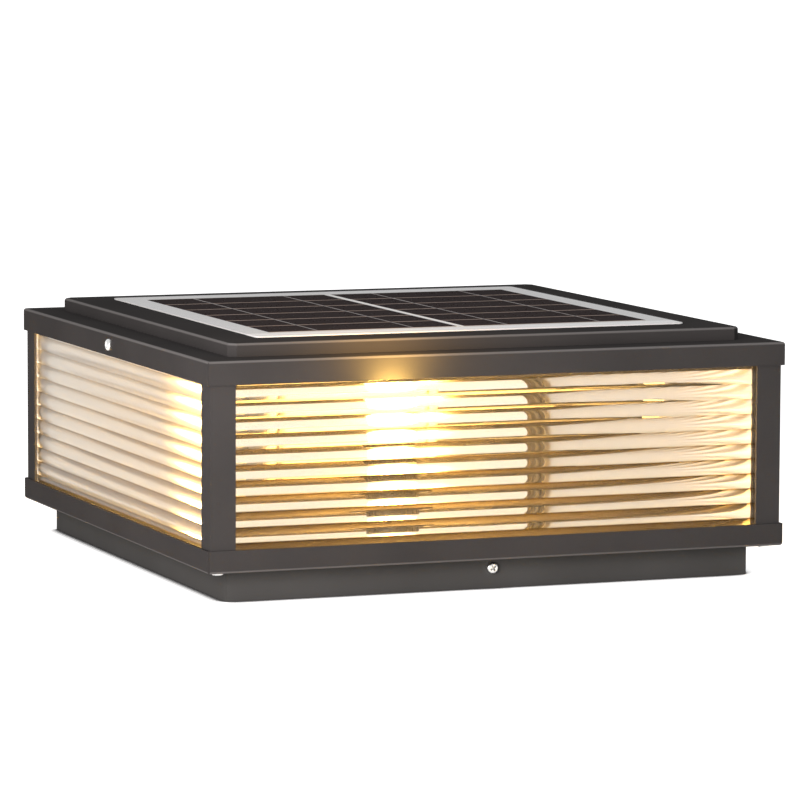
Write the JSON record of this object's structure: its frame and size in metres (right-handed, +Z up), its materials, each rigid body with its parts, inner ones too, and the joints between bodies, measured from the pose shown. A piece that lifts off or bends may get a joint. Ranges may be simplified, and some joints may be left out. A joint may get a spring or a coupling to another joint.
{
  "type": "pedestal light",
  "caption": "Square solar light for a gate pillar cap: dark folded steel body, ribbed clear side panels, warm lamp inside and a solar panel on the raised lid.",
  "frame": {"origin": "centre of the plinth's underside, on top of the pillar", "axes": "+Z up out of the pillar, -Y the front, +X the right seen from the front"},
  "size_m": [0.3044, 0.3, 0.1243],
  "materials": {
    "painted_sheet": "matt dark grey powder coat on folded steel",
    "post_paint": "matt dark grey powder coat on extruded posts",
    "zinc_steel": "zinc plated",
    "bright_steel": "bright stainless screws",
    "rivet_aluminium": "mill finish",
    "clear_ribbed": "clear, half-round ribs outside",
    "seal_rubber": "matt",
    "white_laminate": "white laminate",
    "panel_clear": "thin clear front sheet",
    "cell_silicon": "near black silicon",
    "tinned_ribbon": "tinned",
    "tape": "adhesive tape",
    "black_plastic": "fine grained moulding",
    "button_plastic": "moulded, red",
    "lead_jacket": "soft jacket",
    "connector_white": "nylon",
    "cell_wrap": "shrink sleeve",
    "board_green": "solder mask",
    "component_dark": "moulded",
    "brass_contact": "plated",
    "cap_nickel": "nickel plated",
    "bulb_clear": "clear glass",
    "filament_glow": "lit filament coating"
  },
  "bodies": {
    "lamp_body": {"base_screws": "bright_steel", "battery_box": "black_plastic", "battery_cells": "cell_wrap", "battery_lead": "lead_jacket", "battery_lid": "black_plastic", "board_parts": "component_dark", "box_screws": "bright_steel", "bulb_cap": "cap_nickel", "bulb_glass": "bulb_clear", "bulb_stem": "bulb_clear", "cell_ribbons": "tinned_ribbon", "cell_tabs": "tinned_ribbon", "controller_board": "board_green", "cover_screws": "bright_steel", "filament_wires": "tinned_ribbon", "frame_nuts": "zinc_steel", "glass_back": "clear_ribbed", "glass_front": "clear_ribbed", "glass_left": "clear_ribbed", "glass_right": "clear_ribbed", "holder_contact": "brass_contact", "holder_nuts": "bright_steel", "holder_screws": "bright_steel", "holder_shell": "brass_contact", "junction_box": "black_plastic", "lamp_holder": "black_plastic", "lamp_lead": "lead_jacket", "lead_clips": "black_plastic", "lead_grommet": "seal_rubber", "lead_plug": "connector_white", "lead_socket": "connector_white", "led_filaments": "filament_glow", "lid_screws": "bright_steel", "lower_pan": "painted_sheet", "lower_post_screws": "bright_steel", "lower_seals": "seal_rubber", "mounting_plate": "zinc_steel", "panel_lead": "lead_jacket", "panel_tape": "tape", "panel_tray": "painted_sheet", "plate_nuts": "zinc_steel", "plinth_skirt": "painted_sheet", "post_back_left": "post_paint", "post_back_right": "post_paint", "post_front_left": "post_paint", "post_front_right": "post_paint", "solar_backsheet": "white_laminate", "solar_cells": "cell_silicon", "solar_cover": "panel_clear", "switch_body": "black_plastic", "switch_lead": "lead_jacket", "switch_nut": "zinc_steel", "top_frame": "painted_sheet", "top_pan": "painted_sheet", "tray_rivets": "rivet_aluminium", "upper_post_screws": "bright_steel", "upper_seals": "seal_rubber"},
    "switch_button": {"switch_button": "button_plastic"}
  },
  "joints": [
    {"name": "switch_press", "type": "slide", "parent": "lamp_body", "child": "switch_button", "axis": [0, 0, 1], "range_m": [0, 0.002], "stiffness_N_per_m": 300, "springref_m": -0.004}
  ]
}
